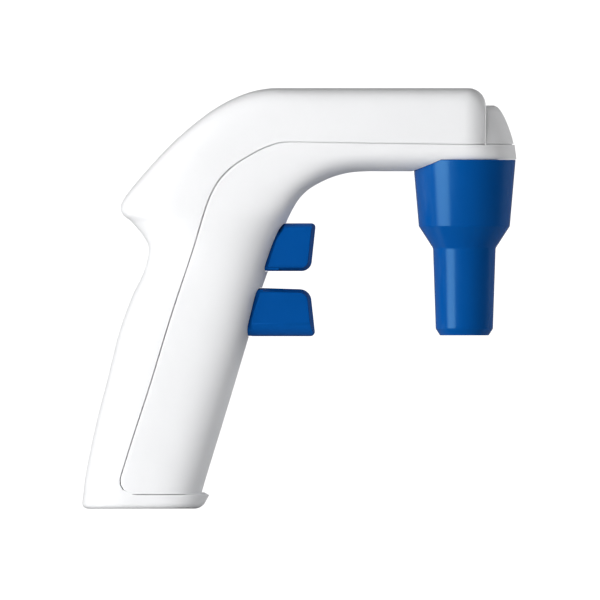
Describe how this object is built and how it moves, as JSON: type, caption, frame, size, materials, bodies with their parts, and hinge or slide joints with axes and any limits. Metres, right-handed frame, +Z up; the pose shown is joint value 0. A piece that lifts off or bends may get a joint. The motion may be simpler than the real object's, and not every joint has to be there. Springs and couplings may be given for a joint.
{
  "type": "motorized pipette controller",
  "caption": "Pistol-shaped motorized pipette controller with a sloping grip, push buttons for drawing up and letting out, and a removable nose cone that holds a pipette.",
  "frame": {"origin": "middle of the object's box, on the plane that the foot stands on", "axes": "+Z up, +X towards the nose, Y = 0 is the mid-plane between the two sides"},
  "size_m": [0.1608, 0.039, 0.1556],
  "materials": {
    "housing_white": "smooth satin moulded plastic",
    "cone_blue": "satin moulded plastic",
    "button_blue": "fine satin moulded plastic",
    "silicone": "translucent silicone rubber",
    "black_rubber": "matt rubber",
    "natural_plastic": "unpigmented moulded plastic",
    "grey_plastic": "fine matt moulded plastic",
    "steel": "bright zinc-plated steel",
    "brass": "bright brass",
    "board_green": "solder-masked laminate",
    "cell_wrap": "shrink-wrapped cell",
    "wire_red": "wire insulation"
  },
  "bodies": {
    "housing": {"rear_housing": "housing_white", "front_housing": "housing_white", "nose_cap": "housing_white", "cone_receptacle": "grey_plastic", "receptacle_o_ring": "black_rubber", "aspirate_spring": "steel", "aspirate_stem_seal": "black_rubber", "aspirate_switch": "black_rubber", "dispense_spring": "steel", "dispense_stem_seal": "black_rubber", "dispense_switch": "black_rubber", "seat_screw_1": "steel", "block_screw_1": "steel", "board_screw_1": "steel", "pump_screw_1": "steel", "seat_screw_2": "steel", "block_screw_2": "steel", "board_screw_2": "steel", "pump_screw_2": "steel", "valve_block": "natural_plastic", "circuit_board": "board_green", "pump_frame": "grey_plastic", "pump_head": "grey_plastic", "pump_diaphragm": "black_rubber", "motor_can": "steel", "shaft_bush": "brass", "motor_damper": "black_rubber", "charge_socket": "black_rubber", "battery_cell_front": "cell_wrap", "battery_cell_rear": "cell_wrap", "battery_cradle": "grey_plastic", "battery_link": "brass", "battery_contact_front": "brass", "battery_contact_rear": "brass", "suction_hose": "silicone", "pressure_hose": "silicone", "cone_hose": "silicone", "battery_lead_positive": "wire_red", "battery_lead_negative": "black_rubber", "motor_lead_positive": "wire_red", "motor_lead_negative": "black_rubber", "charge_lead": "black_rubber"},
    "nose_cone": {"nose_cone": "cone_blue"},
    "pipette_adapter": {"pipette_adapter": "silicone"},
    "membrane_filter": {"membrane_filter": "natural_plastic"},
    "aspirate_button": {"aspirate_button": "button_blue", "aspirate_stem": "steel"},
    "dispense_button": {"dispense_button": "button_blue", "dispense_stem": "steel"},
    "motor_shaft": {"motor_shaft": "steel"},
    "con_rod": {"con_rod": "natural_plastic"}
  },
  "joints": [
    {"name": "aspirate_press", "type": "slide", "parent": "housing", "child": "aspirate_button", "axis": [-1, 0, 0], "range_m": [0, 0.004], "stiffness_N_per_m": 400, "springref_m": -0.002, "deforming": ["aspirate_spring"]},
    {"name": "dispense_press", "type": "slide", "parent": "housing", "child": "dispense_button", "axis": [-1, 0, 0], "range_m": [0, 0.004], "stiffness_N_per_m": 400, "springref_m": -0.002, "deforming": ["dispense_spring"]},
    {"name": "motor_spin", "type": "hinge", "parent": "housing", "child": "motor_shaft", "pos_m": [-0.019, 0, 0.139], "axis": [1, 0, 0], "continuous": true},
    {"name": "rod_swing", "type": "hinge", "parent": "motor_shaft", "child": "con_rod", "pos_m": [-0.019, 0, 0.1378], "axis": [1, 0, 0], "continuous": true},
    {"name": "cone_pull", "type": "slide", "parent": "housing", "child": "nose_cone", "axis": [0, 0, -1], "range_m": [0, 0.062]},
    {"name": "adapter_pull", "type": "slide", "parent": "housing", "child": "pipette_adapter", "axis": [0, 0, -1], "range_m": [0, 0.026]},
    {"name": "filter_pull", "type": "slide", "parent": "housing", "child": "membrane_filter", "axis": [0, 0, -1], "range_m": [0, 0.01]}
  ],
  "couplings": [
    {"joint": "rod_swing", "follows": "motor_spin", "ratio": -1},
    {"joint": "adapter_pull", "follows": "cone_pull", "ratio": 0.4},
    {"joint": "filter_pull", "follows": "cone_pull", "ratio": 0.15}
  ]
}
